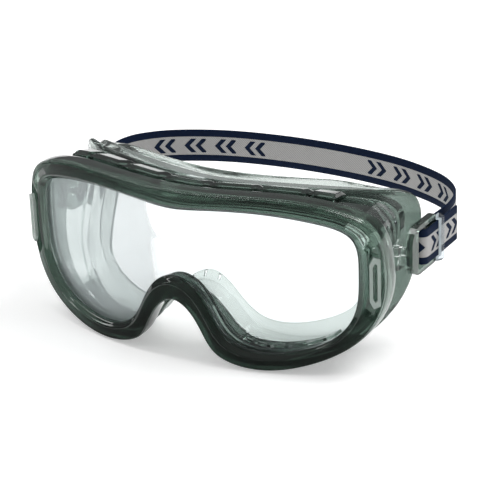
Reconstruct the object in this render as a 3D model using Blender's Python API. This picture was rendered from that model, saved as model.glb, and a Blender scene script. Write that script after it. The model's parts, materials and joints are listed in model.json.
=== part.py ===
"""Wide-vision safety goggles with a clear curved lens and an elastic headband.

Front of the goggles faces -Y, the headband runs back to +Y, +Z is up and the
cheeks stand on z = 0, with the origin under the middle of the whole.  Metres.
Sizes below are in millimetres, from the front of the lens and its centre line;
make_object scales them by MM and moves them to stand on the table.
"""
import math

import bmesh
import bpy
from mathutils import Matrix, Vector

MM = 0.001

# ---- driving dimensions (mm) ------------------------------------------------
LIFT = 37.19            # height of the lens centre line above the table
FORE_AFT = 59.25       # lens front to the middle of the whole length
LENS_RADIUS = 160.0    # bend of the lens about a vertical axis
FACE_RADIUS = 110.0    # bend of the face side of the body
FACE_DEPTH = 26.0      # border behind the lens, at the brow
FACE_LEAN = 12.0       # how much closer to the lens the border is at the cheeks
LEAN_Z = (20.0, -22.0) # heights between which it leans
LENS_THICK = 2.0
GAP = 0.3              # air between pieces that touch
AROUND = 72            # points round each moulded ring

# Half outlines seen from the front, from the brow to the nose: (x, z) control
# points of a smooth closed curve that is the same on both sides.
OPENING = [(0, 27), (16.5, 29.5), (39, 30.5), (59.5, 27.5), (74, 22.5), (74, 7),
           (74, -10.5), (66.5, -22), (51, -28.5), (34, -30.5), (21, -26),
           (15.5, -14), (9.5, -4), (0, 0)]
FRAME_EDGE = [(0, 36), (24.5, 37), (49.5, 37.5), (67.5, 33.5), (82, 26.5), (84.5, 8.5),
              (84.5, -6.5), (76, -24.5), (54, -35), (35, -38), (18, -34),
              (13.5, -25.5), (8.5, -15.5), (0, -9.5)]
BORDER_EDGE = [(0, 31), (23, 31.5), (45, 31), (66, 29), (80.5, 28), (80, 8.5),
               (81, -8.5), (75, -23), (59, -37.5), (37, -37.5), (20, -33),
               (14, -23), (8.5, -17), (0, -15)]
FACE_HOLE = [(0, 20), (18.5, 23), (39, 22.5), (53, 21), (60, 11), (60.5, 1),
             (60, -10), (60, -21.5), (48, -26.5), (36, -29), (24.5, -28),
             (17, -22), (10, -13.5), (0, -8)]

# Lens latches: pockets in the frame's face at the temples
POCKET_Z = (-10.0, 17.0)
POCKET_DEPTH = 1.8
LATCH_CENTRE = (80.05, 18.3)    # x, y of its middle on the floor of the pocket
LATCH_TURN = math.radians(35.0) # how far the pocket's face turns outwards
LATCH_HALF = 2.2                # half of its width across the pocket
LATCH_THICK = 1.3
LATCH_AIR = 0.6        # between the latch and the floor of its pocket

# Headband and its clips
CLIP_X = 83.5          # middle of the clip's thickness, out from the centre
CLIP_HALF = 1.5
CLIP_Y = (42.0, 66.0)
CLIP_Z = (-4.5, 16.5)
WINDOW_Y = (47.6, 62.4)
WINDOW_Z = (-2.4, 14.4)
PIVOT_Y, PIVOT_Z = 44.8, 6.0
PIN_RADIUS = 2.0
PIN_PLAY = 0.1         # running clearance of the clip on its pin
BAR_Y = 54.0
BAR_RADIUS = 1.5
STRAP_WIDTH = 15.0
STRAP_THICK = 1.0
STRAP_RISE = 1.8       # how far the headband climbs behind the clips
RISE_Y = (66.0, 96.0)  # between these

# Top vent covers: x limits of the covers right of the middle one
COVER_X = [10.5, 31.0, 50.0, 60.5]
COVER_SPLIT = 0.7      # half the V gap between two covers

# Slots in the floor of each cheek
CHEEK_SLOT_X, CHEEK_SLOT_STEP, CHEEK_SLOT_WIDTH = 26.0, 8.0, 5.0

# ---- colours: (r, g, b), roughness, metallic ---------------------------------
SMOKE = ((0.060, 0.085, 0.072), 0.12, 0.0)
SMOKE_LIGHT = ((0.36, 0.42, 0.40), 0.22, 0.0)
SMOKE_DARK = ((0.022, 0.034, 0.028), 0.18, 0.0)
CLEAR = ((0.84, 0.87, 0.88), 0.03, 0.0)
SEAL_GREY = ((0.48, 0.53, 0.51), 0.30, 0.0)
NAVY_GREY = ((0.17, 0.17, 0.19), 0.85, 0.0)
STEEL = ((0.55, 0.55, 0.52), 0.28, 1.0)


def clear_scene():
    for obj in list(bpy.data.objects):
        bpy.data.objects.remove(obj, do_unlink=True)


def material(name, spec):
    colour, rough, metal = spec
    mat = bpy.data.materials.new(name)
    mat.use_nodes = True
    bsdf = mat.node_tree.nodes["Principled BSDF"]
    bsdf.inputs["Base Color"].default_value = (*colour, 1.0)
    bsdf.inputs["Roughness"].default_value = rough
    bsdf.inputs["Metallic"].default_value = metal
    mat.diffuse_color = (*colour, 1.0)
    return mat


def place(p):
    return p[0] * MM, (p[1] - FORE_AFT) * MM, (p[2] + LIFT) * MM


def make_object(name, verts, faces, spec, smooth=True):
    """Mesh object from millimetre points, lifted to stand on the table."""
    mesh = bpy.data.meshes.new(name)
    mesh.from_pydata([place(p) for p in verts], [], faces)
    bm = bmesh.new()
    bm.from_mesh(mesh)
    bmesh.ops.recalc_face_normals(bm, faces=bm.faces)
    bm.to_mesh(mesh)
    bm.free()
    for poly in mesh.polygons:
        poly.use_smooth = smooth
    obj = bpy.data.objects.new(name, mesh)
    bpy.context.scene.collection.objects.link(obj)
    mesh.materials.append(material(name + "_mat", spec))
    return obj


def fix_normals(obj):
    bm = bmesh.new()
    bm.from_mesh(obj.data)
    bmesh.ops.recalc_face_normals(bm, faces=bm.faces)
    bm.to_mesh(obj.data)
    bm.free()


def set_origin(obj, point):
    """Put a moving piece's origin on its joint's axis; its shape stays in place."""
    target = Vector(place(point))
    obj.data.transform(Matrix.Translation(-target))
    obj.location = target


# ---- closed outlines ----------------------------------------------------------
def full_outline(half):
    """Closed control ring: the right half, then its mirror image."""
    return list(half) + [(-x, z) for x, z in reversed(half[1:-1])]


def spline_point(half, u):
    """Point of the smooth closed curve, u in 0..1 from the brow over +X."""
    ring = full_outline(half)
    n = len(ring)
    t = (u % 1.0) * n
    i, f = int(t), (t % 1.0)
    weights = ((1 - f) ** 3 / 6, (3 * f ** 3 - 6 * f ** 2 + 4) / 6,
               (-3 * f ** 3 + 3 * f ** 2 + 3 * f + 1) / 6, f ** 3 / 6)
    x = sum(w * ring[(i - 1 + k) % n][0] for k, w in enumerate(weights))
    z = sum(w * ring[(i - 1 + k) % n][1] for k, w in enumerate(weights))
    return x, z


def mix(a, b, s):
    return tuple(p + (q - p) * s for p, q in zip(a, b))


def bend(x, radius):
    return radius - math.sqrt(radius * radius - x * x)


def smooth(t):
    t = min(1.0, max(0.0, t))
    return t * t * (3.0 - 2.0 * t)


def lean(z):
    """The face side comes forward towards the cheeks."""
    return -FACE_LEAN * smooth((LEAN_Z[0] - z) / (LEAN_Z[0] - LEAN_Z[1]))


def front_point(u, s, back):
    """s = 0 on the lens opening, 1 on the frame's outer edge."""
    x, z = mix(spline_point(OPENING, u), spline_point(FRAME_EDGE, u), s)
    return x, bend(x, LENS_RADIUS) + back, z


def rear_point(u, s, back):
    """s = 0 on the border's outer edge, 1 on the hole for the face."""
    x, z = mix(spline_point(BORDER_EDGE, u), spline_point(FACE_HOLE, u), s)
    return x, bend(x, FACE_RADIUS) + FACE_DEPTH + lean(z) + back, z


def ring_solid(name, spec, section, us=None, openings=(), bands=None):
    """Closed ring: section(u) gives the points across it at u.

    openings are (u0, u1) spans cut straight through the ring between its two
    bands; each band is the index of a section edge.
    """
    us = us or [i / AROUND for i in range(AROUND)]
    rows = [section(u) for u in us]
    count, k = len(us), len(rows[0])
    verts = [p for row in rows for p in row]

    def is_open(i):
        ahead = us[(i + 1) % count] + (1.0 if i == count - 1 else 0.0)
        mid = (us[i] + ahead) / 2 % 1.0
        return any(u0 < mid < u1 for u0, u1 in openings)

    faces = []
    for i in range(count):
        j = (i + 1) % count
        hole = is_open(i)
        for a in range(k):
            b = (a + 1) % k
            if not (hole and a in bands):
                faces.append((i * k + a, i * k + b, j * k + b, j * k + a))
        if hole:
            out, inn = bands
            near, far = (out, inn + 1), (out + 1, inn)
            for p, q in (near, far):
                faces.append((i * k + p, j * k + p, j * k + q, i * k + q))
            for edge, neighbour in ((i, i - 1), (j, j)):
                if not is_open(neighbour % count):
                    faces.append((edge * k + near[0], edge * k + far[0],
                                  edge * k + far[1], edge * k + near[1]))
    return make_object(name, verts, faces, spec)


# ---- front: lens, frame, gasket --------------------------------------------------
def lens_plate():
    """Curved plate whose edge sits 3 mm outside the opening."""
    centre = (0.0, 10.0)
    steps = (1.0, 0.7, 0.4, 0.15)
    verts, faces = [], []
    for back in (GAP, GAP + LENS_THICK):
        for s in steps:
            for i in range(AROUND):
                x, _, z = front_point(i / AROUND, 0.3, 0)
                x, z = centre[0] + (x - centre[0]) * s, centre[1] + (z - centre[1]) * s
                verts.append((x, bend(x, LENS_RADIUS) + back, z))
        verts.append((centre[0], bend(centre[0], LENS_RADIUS) + back, centre[1]))
    layer = len(steps) * AROUND + 1
    for base in (0, layer):
        for r in range(len(steps) - 1):
            for i in range(AROUND):
                j = (i + 1) % AROUND
                a = base + r * AROUND
                faces.append((a + i, a + j, a + AROUND + j, a + AROUND + i))
        last = base + (len(steps) - 1) * AROUND
        for i in range(AROUND):
            faces.append((last + i, last + (i + 1) % AROUND, base + layer - 1))
    for i in range(AROUND):
        j = (i + 1) % AROUND
        faces.append((i, j, layer + j, layer + i))
    return make_object("lens", verts, faces, CLEAR)


SKIRT_BACK = 5.8       # rear edge of the frame behind the lens surface


def in_pocket(u):
    """True where the frame's face is sunk for a lens latch."""
    x, z = spline_point(FRAME_EDGE, u)
    return abs(x) > 60 and POCKET_Z[0] < z < POCKET_Z[1]


def frame_section(u):
    sink = POCKET_DEPTH if in_pocket(u) else 0.0
    return [front_point(u, 0.0, 0.0), front_point(u, 0.0, -1.9), front_point(u, 0.12, -3.4),
            front_point(u, 0.33, -4.0), front_point(u, 0.36, -4.0 + sink),
            front_point(u, 0.86, -3.3 + sink), front_point(u, 0.89, -3.1),
            front_point(u, 1.0, -0.6), front_point(u, 1.0, 2.2),
            front_point(u, 0.95, SKIRT_BACK), front_point(u, 0.8, SKIRT_BACK), front_point(u, 0.8, 0.0)]


def gasket_section(u):
    near = GAP + LENS_THICK + 0.6
    return [front_point(u, 0.08, near), front_point(u, 0.3, near),
            front_point(u, 0.3, near + 1.4), front_point(u, 0.08, near + 1.4)]


# ---- soft body and face seal --------------------------------------------------------
BODY_FRONT = 4.6       # start of the body behind the lens surface
WALL_FRONT = 6.4       # where its wall leaves the frame
WALL_OUT, WALL_IN = 0.28, 0.40   # body wall between border edge and face hole


def wall_point(u, v, depth=0.0):
    """Outer wall of the body, v = 0 behind the frame and 1 at the border."""
    a = front_point(u, 0.74, WALL_FRONT)
    b = rear_point(u, WALL_OUT, -2.0)
    p = mix(a, b, v)
    if depth:
        e = 0.004
        along = Vector(mix(a, b, v + 0.05)) - Vector(p)
        ahead, behind = wall_point(u + e, v), wall_point(u - e, v)
        normal = (Vector(ahead) - Vector(behind)).cross(along).normalized()
        if normal.dot(Vector((p[0], 0, p[2] - 6))) < 0:
            normal = -normal
        p = tuple(Vector(p) + normal * depth)
    return p


VENT_BAND = (0.30, 0.62)   # vents and slots, as fractions of the wall's depth


def body_section(u):
    inner_front = front_point(u, 0.54, WALL_FRONT + 1.6)
    inner_rear = rear_point(u, WALL_IN, -1.5)
    v0, v1 = VENT_BAND
    return [front_point(u, 0.12, BODY_FRONT), front_point(u, 0.74, BODY_FRONT),
            wall_point(u, 0.0), wall_point(u, v0), wall_point(u, v1), wall_point(u, 0.92),
            rear_point(u, 0.06, -2.0), rear_point(u, 0.0, -0.5), rear_point(u, 0.06, 1.2),
            rear_point(u, WALL_IN, 1.2), inner_rear, mix(inner_front, inner_rear, v1),
            mix(inner_front, inner_rear, v0), inner_front,
            front_point(u, 0.50, BODY_FRONT + 2.0), front_point(u, 0.12, BODY_FRONT + 2.0)]


OUTER_BAND, INNER_BAND = 3, 11    # section edges that the vents pass through


def face_body():
    """Soft body with its top vents and five slots in the floor of each cheek."""
    openings = []
    edges = cover_edges()
    for x0, x1 in zip(edges, edges[1:]):
        openings.append((u_at_x(x0 + 2.5, -0.16, 0.16), u_at_x(x1 - 2.5, -0.16, 0.16)))
    for side in (-1, 1):
        for k in range(5):
            x = side * (CHEEK_SLOT_X + CHEEK_SLOT_STEP * k)
            half = CHEEK_SLOT_WIDTH / 2
            openings.append(tuple(sorted((cheek_u(x - half), cheek_u(x + half)))))
    stops = [u % 1.0 for span_ in openings for u in span_]
    us = [i / AROUND for i in range(AROUND)]
    us = [u for u in us if min(abs(u - s) for s in stops) > 0.003] + stops
    # the middle vent spans u = 0, so it is stated on both sides of the seam
    split = [(a, b) for a, b in openings if a >= 0]
    split += [(a % 1.0, 1.0 if b > 0 else b % 1.0) for a, b in openings if a < 0]
    split += [(0.0, b) for a, b in openings if a < 0 < b]
    return ring_solid("face_body", SMOKE_LIGHT, body_section, sorted(us), split,
                      (OUTER_BAND, INNER_BAND))


def seal_section(u):
    """Thin lip that lies on the face; it stands up to the border at the brow only."""
    x, z = spline_point(BORDER_EDGE, u)
    brow = smooth((z - 20.0) / 8.0) * (1.0 - smooth((abs(x) - 45.0) / 25.0))
    lip = 0.26 * (1.0 - brow)
    return [rear_point(u, 0.18, 1.4 + GAP), rear_point(u, 0.14, 7.6), rear_point(u, lip, 10.2),
            rear_point(u, lip, 11.1), rear_point(u, 0.5, 12.0), rear_point(u, 0.96, 12.4),
            rear_point(u, 0.96, 11.4), rear_point(u, 0.42, 10.4), rear_point(u, 0.38, 1.4 + GAP)]


# ---- pieces that follow the body wall --------------------------------------------------
def wall_patch(name, spec, us, vs, depths):
    """Curved slab over the wall; depths(u, v) gives its inner and outer offset."""
    nu, nv = len(us), len(vs)
    verts = []
    for layer in (0, 1):
        for u in us:
            for v in vs:
                verts.append(wall_point(u, v, depths(u, v)[layer]))
    faces = []

    def at(layer, i, j):
        return layer * nu * nv + i * nv + j

    for i in range(nu - 1):
        for j in range(nv - 1):
            for layer in (0, 1):
                faces.append((at(layer, i, j), at(layer, i + 1, j),
                              at(layer, i + 1, j + 1), at(layer, i, j + 1)))
    for i in range(nu - 1):
        for j in (0, nv - 1):
            faces.append((at(0, i, j), at(0, i + 1, j), at(1, i + 1, j), at(1, i, j)))
    for j in range(nv - 1):
        for i in (0, nu - 1):
            faces.append((at(0, i, j), at(0, i, j + 1), at(1, i, j + 1), at(1, i, j)))
    return make_object(name, verts, faces, spec, smooth=False)


def u_at_x(x_target, low, high):
    """Parameter of the wall's middle line where it reaches x (x rises with u)."""
    for _ in range(40):
        mid = (low + high) / 2
        if wall_point(mid, 0.5)[0] < x_target:
            low = mid
        else:
            high = mid
    return (low + high) / 2


def span(a, b, n):
    return [a + (b - a) * i / (n - 1) for i in range(n)]


def cover_edges():
    return [-x for x in reversed(COVER_X)] + COVER_X


def top_covers():
    """Row of box covers over the top vents, widest in the middle."""
    edges = cover_edges()
    for k in range(len(edges) - 1):
        x0, x1 = edges[k] + COVER_SPLIT, edges[k + 1] - COVER_SPLIT
        us = span(u_at_x(x0, -0.16, 0.16), u_at_x(x1, -0.16, 0.16), 5)
        wall_patch("vent_cover_%d" % (k + 1), SMOKE_DARK, us, span(0.12, 0.80, 4),
                   lambda u, v: (0.4, 3.4 if 0.2 < v < 0.75 else 2.4))


# ---- cutters -----------------------------------------------------------------------
def rod(name, spec, start, end, radius, sides=20):
    """Straight round bar between two points."""
    a, b = Vector(start), Vector(end)
    axis = (b - a).normalized()
    side = axis.cross(Vector((0, 0, 1)) if abs(axis.z) < 0.9 else Vector((0, 1, 0))).normalized()
    up = axis.cross(side)
    verts = []
    for p in (a, b):
        for i in range(sides):
            t = 2 * math.pi * i / sides
            verts.append(tuple(p + side * radius * math.cos(t) + up * radius * math.sin(t)))
    faces = [tuple(range(sides)), tuple(range(sides, 2 * sides))]
    faces += [(i, (i + 1) % sides, sides + (i + 1) % sides, sides + i) for i in range(sides)]
    obj = make_object(name, verts, faces, spec)
    for poly in list(obj.data.polygons)[:2]:
        poly.use_smooth = False
    return obj


def cut(target, cutters):
    """Apply an exact Boolean for each cutter, then drop the cutter."""
    for cutter in cutters:
        cutter.hide_render = True
        cutter.display_type = "WIRE"
        mod = target.modifiers.new("cut", "BOOLEAN")
        mod.operation = "DIFFERENCE"
        mod.solver = "EXACT"
        mod.object = cutter
        bpy.context.view_layer.update()
        graph = bpy.context.evaluated_depsgraph_get()
        result = bpy.data.meshes.new_from_object(target.evaluated_get(graph))
        target.modifiers.remove(mod)
        old = target.data
        target.data = result
        bpy.data.meshes.remove(old)
        bpy.data.objects.remove(cutter, do_unlink=True)


def cheek_u(x):
    """Parameter on the underside where the wall reaches x."""
    low, high = (0.27, 0.42) if x > 0 else (0.58, 0.73)
    for _ in range(40):
        mid = (low + high) / 2
        if wall_point(mid, 0.5)[0] > x:
            low = mid
        else:
            high = mid
    return (low + high) / 2


# ---- headband ------------------------------------------------------------------------
INNER_X = CLIP_X - BAR_RADIUS - GAP - STRAP_THICK / 2
OUTER_X = CLIP_X + BAR_RADIUS + GAP + STRAP_THICK / 2
LOOP = [(INNER_X, 60.0), (INNER_X, 66.0), (81.9, 73.0), (82.6, 80.5), (81.6, 88.5),
        (77.5, 97.0), (69.0, 105.5), (56.0, 112.5), (40.0, 117.8), (20.0, 121.0), (0.0, 122.0)]
TAIL = [(OUTER_X + 0.6, 80.0), (OUTER_X + 0.3, 75.0), (OUTER_X, 70.0), (OUTER_X, 62.0)]


def strap_height(y):
    return PIVOT_Z + STRAP_RISE * smooth((y - RISE_Y[0]) / (RISE_Y[1] - RISE_Y[0]))


def strap_line():
    """Plan of one continuous band: tail, fold round a bar, loop, fold, tail."""
    half = list(TAIL) + [(OUTER_X, BAR_Y)]
    r = BAR_RADIUS + GAP + STRAP_THICK / 2
    for k in range(1, 8):
        t = math.pi * k / 8
        half.append((CLIP_X + r * math.cos(t), BAR_Y - r * math.sin(t)))
    half += [(INNER_X, BAR_Y)]
    points = LOOP
    for i in range(len(points) - 1):
        p0 = points[max(i - 1, 0)]
        p3 = points[i + 2] if i + 2 < len(points) else (-points[i][0], points[i][1])
        for f in ((0.0, 0.5) if i > 1 else (0.0,)):
            p1, p2 = points[i], points[i + 1]
            half.append(tuple(0.5 * (2 * p1[c] + (p2[c] - p0[c]) * f
                                     + (2 * p0[c] - 5 * p1[c] + 4 * p2[c] - p3[c]) * f * f
                                     + (3 * p1[c] - p0[c] - 3 * p2[c] + p3[c]) * f ** 3)
                              for c in (0, 1)))
    mirrored = [(-x, y) for x, y in reversed(half)]
    return half + [LOOP[-1]] + mirrored


def headband():
    line = strap_line()
    verts, faces = [], []
    n = len(line)
    for i, (x, y) in enumerate(line):
        a, b = line[max(i - 1, 0)], line[min(i + 1, n - 1)]
        d = Vector((b[0] - a[0], b[1] - a[1])).normalized()
        nx, ny = -d.y * STRAP_THICK / 2, d.x * STRAP_THICK / 2
        for sx, sz in ((1, -1), (1, 1), (-1, 1), (-1, -1)):
            verts.append((x + nx * sx, y + ny * sx, strap_height(y) + sz * STRAP_WIDTH / 2))
    for i in range(n - 1):
        for a in range(4):
            b = (a + 1) % 4
            faces.append((i * 4 + a, i * 4 + b, i * 4 + 4 + b, i * 4 + 4 + a))
    faces += [(0, 1, 2, 3), tuple(4 * (n - 1) + k for k in range(4))]
    return make_object("headband", verts, faces, NAVY_GREY)


def rounded_rect(y0, y1, z0, z1, front, rear, steps=5):
    """Corner points of a rectangle with its front and rear corner radii."""
    points = []
    for r, cy, cz, start in ((rear, y1 - rear, z1 - rear, 0), (front, y0 + front, z1 - front, 90),
                             (front, y0 + front, z0 + front, 180), (rear, y1 - rear, z0 + rear, 270)):
        for k in range(steps):
            t = math.radians(start + 90 * k / (steps - 1))
            points.append((cy + r * math.cos(t), cz + r * math.sin(t)))
    return points


def frame_plate(name, spec, outer, inner, x0, x1):
    """Flat plate in the Y-Z plane with one window."""
    n = len(outer)
    verts = [(x, y, z) for x in (x0, x1) for loop in (outer, inner) for y, z in loop]
    faces = []
    for i in range(n):
        j = (i + 1) % n
        for layer in (0, 2 * n):
            faces.append((layer + i, layer + j, layer + n + j, layer + n + i))
        faces.append((i, j, 2 * n + j, 2 * n + i))
        faces.append((n + i, n + j, 3 * n + j, 3 * n + i))
    return make_object(name, verts, faces, spec, smooth=False)


def clip_side(side, tag):
    """Clip frame, fold bar, keeper, pin and mount of one side."""
    x0, x1 = side * (CLIP_X - CLIP_HALF), side * (CLIP_X + CLIP_HALF)
    frame_plate("strap_clip_" + tag, SMOKE_DARK, rounded_rect(*CLIP_Y, *CLIP_Z, 7.0, 4.0),
                rounded_rect(*WINDOW_Y, *WINDOW_Z, 1.2, 1.2), x0, x1)
    rod("fold_bar_" + tag, STEEL, (side * CLIP_X, BAR_Y, WINDOW_Z[0] + GAP),
        (side * CLIP_X, BAR_Y, WINDOW_Z[1] - GAP), BAR_RADIUS, 16)
    # keeper: a clear bridge over the folded band, its feet on the clip frame
    y0, y1 = WINDOW_Y[1] + 0.4, CLIP_Y[1] - 0.5
    foot, roof = side * (CLIP_X + CLIP_HALF + GAP), side * (OUTER_X + STRAP_THICK / 2 + GAP)
    top = roof + side * 1.3
    z0, z1 = CLIP_Z[0] + 0.3, CLIP_Z[1] - 0.3
    inner0, inner1 = PIVOT_Z - STRAP_WIDTH / 2 - 0.6, PIVOT_Z + STRAP_WIDTH / 2 + 0.6
    profile = [(foot, z0), (foot, inner0), (roof, inner0), (roof, inner1), (foot, inner1),
               (foot, z1), (top, z1 - 1.0), (top, z0 + 1.0)]
    n = len(profile)
    verts = [(x, y, z) for y in (y0, y1) for x, z in profile]
    faces = [tuple(range(n)), tuple(range(n, 2 * n))]
    faces += [(i, (i + 1) % n, n + (i + 1) % n, n + i) for i in range(n)]
    make_object("strap_keeper_" + tag, verts, faces, CLEAR, smooth=False)
    # pin on the clip's inner face, and the mount on the body that it turns in
    rod("pivot_pin_" + tag, SMOKE_DARK, (side * 80.3, PIVOT_Y, PIVOT_Z),
        (x0 - side * GAP, PIVOT_Y, PIVOT_Z), PIN_RADIUS, 24)
    us = span(*mount_us(side), 7)
    mount = wall_mount("clip_mount_" + tag, side, us)
    cut(mount, [rod("cutter", SMOKE, (side * 77.0, PIVOT_Y, PIVOT_Z),
                    (side * 90.0, PIVOT_Y, PIVOT_Z), PIN_RADIUS + PIN_PLAY, 24)])


def mount_us(side):
    """Parameters on the temple between the mount's top and bottom."""
    found = []
    for z in (PIVOT_Z + 5.0, PIVOT_Z - 5.0):
        low, high = (0.1, 0.3) if side > 0 else (0.9, 0.7)
        for _ in range(40):
            mid = (low + high) / 2
            if wall_point(mid, 0.6)[2] > z:
                low = mid
            else:
                high = mid
        found.append((low + high) / 2)
    return found


def wall_mount(name, side, us):
    """Pad on the body's side: curved inside, flat outside for the clip."""
    vs = span(0.34, 0.72, 5)
    face = side * (CLIP_X - CLIP_HALF - 0.5)
    nu, nv = len(us), len(vs)
    verts = [wall_point(u, v, GAP) for u in us for v in vs]
    verts += [(face, y, z) for _, y, z in verts]
    faces = []
    size = nu * nv
    for layer in (0, size):
        for i in range(nu - 1):
            for j in range(nv - 1):
                a = layer + i * nv + j
                faces.append((a, a + nv, a + nv + 1, a + 1))
    for i in range(nu - 1):
        for j in (0, nv - 1):
            a = i * nv + j
            faces.append((a, a + nv, size + a + nv, size + a))
    for j in range(nv - 1):
        for i in (0, nu - 1):
            a = i * nv + j
            faces.append((a, a + 1, size + a + 1, size + a))
    return make_object(name, verts, faces, SMOKE_LIGHT, smooth=False)


# ---- lens latches ------------------------------------------------------------------------
def latch(side, tag):
    """C-shaped bracket in the frame's pocket, hinged along its outer edge."""
    z0, z1 = POCKET_Z[0] + 2.6, POCKET_Z[1] - 2.6
    w = LATCH_HALF
    outer = [(-0.6, z1), (w, z1 - 1.0), (w, z0 + 1.0), (-0.6, z0), (-w, z0 + 3.2), (-w, z1 - 3.2)]
    inner = [(0.0, z1 - 2.6), (w - 1.3, z1 - 3.4), (w - 1.3, z0 + 3.4), (0.0, z0 + 2.6),
             (1.3 - w, z0 + 4.4), (1.3 - w, z1 - 4.4)]
    plate = frame_plate("lens_latch_" + tag, SMOKE_LIGHT, outer, inner,
                        LATCH_AIR, LATCH_AIR + LATCH_THICK)
    along = Vector((side * math.cos(LATCH_TURN), math.sin(LATCH_TURN), 0.0))
    out = Vector((side * math.sin(LATCH_TURN), -math.cos(LATCH_TURN), 0.0))
    centre = Vector((side * LATCH_CENTRE[0], LATCH_CENTRE[1], 0.0))
    for vert in plate.data.vertices:
        depth, across, z = (vert.co - Vector(place((0, 0, 0)))) / MM
        vert.co = place(centre + along * across + out * depth + Vector((0, 0, z)))
    fix_normals(plate)
    hinge = centre + along * w + out * (LATCH_AIR + LATCH_THICK / 2)
    set_origin(plate, (hinge.x, hinge.y, (z0 + z1) / 2))


def main():
    clear_scene()
    lens_plate()
    ring_solid("front_frame", SMOKE, frame_section)
    ring_solid("lens_gasket", SMOKE_LIGHT, gasket_section)
    face_body()
    ring_solid("face_seal", SEAL_GREY, seal_section)
    top_covers()
    for side, tag in ((1, "left"), (-1, "right")):
        us = span(cheek_u(side * 22.0), cheek_u(side * 62.0), 9)
        wall_patch("cheek_baffle_" + tag, SMOKE_DARK, us, span(0.25, 0.75, 3),
                   lambda u, v: (-4.6, -3.4))
        clip_side(side, tag)
        latch(side, tag)
        for piece in ("strap_clip_", "fold_bar_", "strap_keeper_", "pivot_pin_"):
            set_origin(bpy.data.objects[piece + tag], (side * CLIP_X, PIVOT_Y, PIVOT_Z))
    set_origin(headband(), (0.0, PIVOT_Y, PIVOT_Z))


main()
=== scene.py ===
import json
import math

import bmesh
import bpy
from mathutils import Matrix, Vector

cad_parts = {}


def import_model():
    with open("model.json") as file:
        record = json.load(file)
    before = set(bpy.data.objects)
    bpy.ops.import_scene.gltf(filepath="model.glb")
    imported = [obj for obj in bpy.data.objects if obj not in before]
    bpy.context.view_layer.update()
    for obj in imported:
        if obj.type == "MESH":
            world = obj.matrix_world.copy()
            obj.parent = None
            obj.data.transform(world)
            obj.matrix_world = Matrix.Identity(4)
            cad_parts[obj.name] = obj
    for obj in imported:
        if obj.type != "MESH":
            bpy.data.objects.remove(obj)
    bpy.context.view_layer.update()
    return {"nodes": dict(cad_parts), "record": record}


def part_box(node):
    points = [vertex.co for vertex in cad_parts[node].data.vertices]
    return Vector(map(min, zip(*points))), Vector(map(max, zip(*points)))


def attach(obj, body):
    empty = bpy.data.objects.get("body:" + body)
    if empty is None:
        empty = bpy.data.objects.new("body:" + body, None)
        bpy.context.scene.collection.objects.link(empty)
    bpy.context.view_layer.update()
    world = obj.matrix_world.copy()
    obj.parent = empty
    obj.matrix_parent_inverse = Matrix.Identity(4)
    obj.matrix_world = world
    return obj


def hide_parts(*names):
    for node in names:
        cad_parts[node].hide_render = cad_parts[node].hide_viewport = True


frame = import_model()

# Wide-vision goggles: the fine surface over the CAD frame.  Sizes are in
# millimetres from the front of the lens and its centre line, as in the part;
# place() moves them onto the frame.
MM = 0.001
PIVOT_Z = 6.0
LENS_GAP = 0.3
FORE_AFT = LENS_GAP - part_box("lens")[0].y / MM
LIFT = (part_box("strap_clip_left")[0].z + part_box("strap_clip_left")[1].z) / 2 / MM - PIVOT_Z

LENS_RADIUS = 160.0
FACE_RADIUS = 110.0
FACE_DEPTH = 26.0
FACE_LEAN = 12.0
LEAN_Z = (20.0, -22.0)
LENS_THICK = 2.0

OPENING = [(0, 27), (16.5, 29.5), (39, 30.5), (59.5, 27.5), (74, 22.5), (74, 7),
           (74, -10.5), (66.5, -22), (51, -28.5), (34, -30.5), (21, -26),
           (15.5, -14), (9.5, -4), (0, 0)]
FRAME_EDGE = [(0, 36), (24.5, 37), (49.5, 37.5), (67.5, 33.5), (82, 26.5), (84.5, 8.5),
              (84.5, -6.5), (76, -24.5), (54, -35), (35, -38), (18, -34),
              (13.5, -25.5), (8.5, -15.5), (0, -9.5)]
BORDER_EDGE = [(0, 31), (23, 31.5), (45, 31), (66, 29), (80.5, 28), (80, 8.5),
               (81, -8.5), (75, -23), (59, -37.5), (37, -37.5), (20, -33),
               (14, -23), (8.5, -17), (0, -15)]
FACE_HOLE = [(0, 20), (18.5, 23), (39, 22.5), (53, 21), (60, 11), (60.5, 1),
             (60, -10), (60, -21.5), (48, -26.5), (36, -29), (24.5, -28),
             (17, -22), (10, -13.5), (0, -8)]

# frame: pocket of the lens latch and the clear window above it
POCKET_DEPTH = 1.8
POCKET_SLOPE = 0.32             # how much deeper its outer edge is
POCKET_S = (0.33, 0.88)
POCKET_TOP = (15.0, 19.5)       # z of its slanted top edge at both ends of POCKET_S
POCKET_BOTTOM = (-8.5, -13.5)
WINDOW_S = (0.36, 0.72)
WINDOW_TOP = (26.5, 29.0)
WINDOW_BOTTOM = (17.5, 21.5)
WINDOW_DEPTH = 0.7
SINK_BLEND = 0.9                # height over which a sunk area's edge slopes
SKIRT_BACK = 5.8
SKIRT_CLEAR_X, SKIRT_CLEAR_Z = 66.0, (-20.0, 24.0)   # light part of the skirt at each temple

# body
BODY_FRONT = 4.6
WALL_FRONT = 6.4
WALL_OUT, WALL_IN = 0.28, 0.40
VENT_BAND = (0.30, 0.62)
COVER_X = [10.5, 31.0, 50.0, 60.5]
COVER_SPLIT = 0.7
CHEEK_SLOT_X, CHEEK_SLOT_STEP, CHEEK_SLOT_WIDTH = 26.0, 8.0, 5.0
NOSE_SLITS = (-0.019, 0.008, 0.030)   # along the outline, from the middle of the nose
NOSE_SLIT_WIDTH = 0.0045
BAFFLE_X, BAFFLE_V, BAFFLE_DEPTHS = (22.0, 62.0), (0.25, 0.75), (-4.6, -3.4)

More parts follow.
